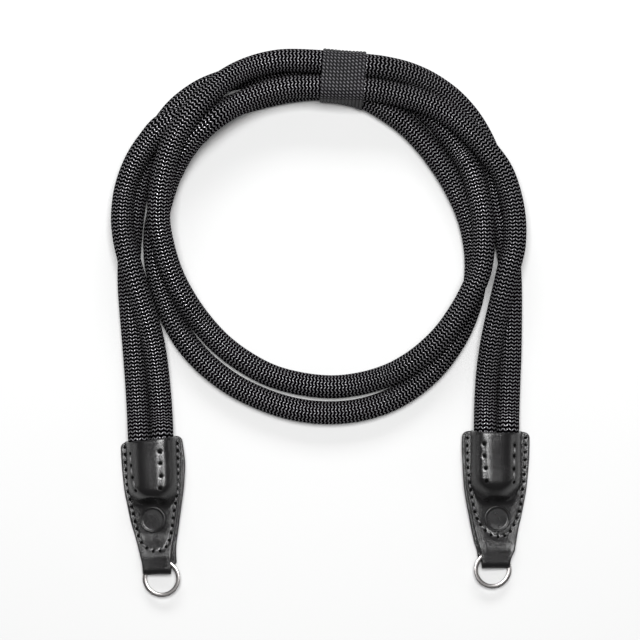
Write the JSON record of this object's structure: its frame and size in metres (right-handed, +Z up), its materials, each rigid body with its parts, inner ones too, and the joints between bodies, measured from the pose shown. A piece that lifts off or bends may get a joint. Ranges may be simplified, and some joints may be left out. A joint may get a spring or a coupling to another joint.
{
  "type": "camera strap",
  "caption": "Doubled braided rope camera strap, coiled flat, with moulded leather ends, split rings for the camera's lugs and a woven band round the coil.",
  "frame": {"origin": "middle of the leather ends, rings and band on the surface that the strap lies on", "axes": "+Y from the split rings to the banded top of the coil, +Z up from the surface, +X from the left leather end to the right one"},
  "size_m": [0.1737, 0.2282, 0.0282],
  "materials": {
    "rope": "tightly braided black cord with a soft sheen",
    "leather": "smooth glossy black leather with a fine grain",
    "ring_steel": "polished steel wire",
    "band": "ribbed woven elastic, dark grey"
  },
  "bodies": {
    "root": {"rope_inner": "rope", "rope_outer": "rope", "left_leather_end": "leather", "right_leather_end": "leather", "left_split_ring": "ring_steel", "right_split_ring": "ring_steel", "keeper_band": "band"}
  },
  "joints": []
}
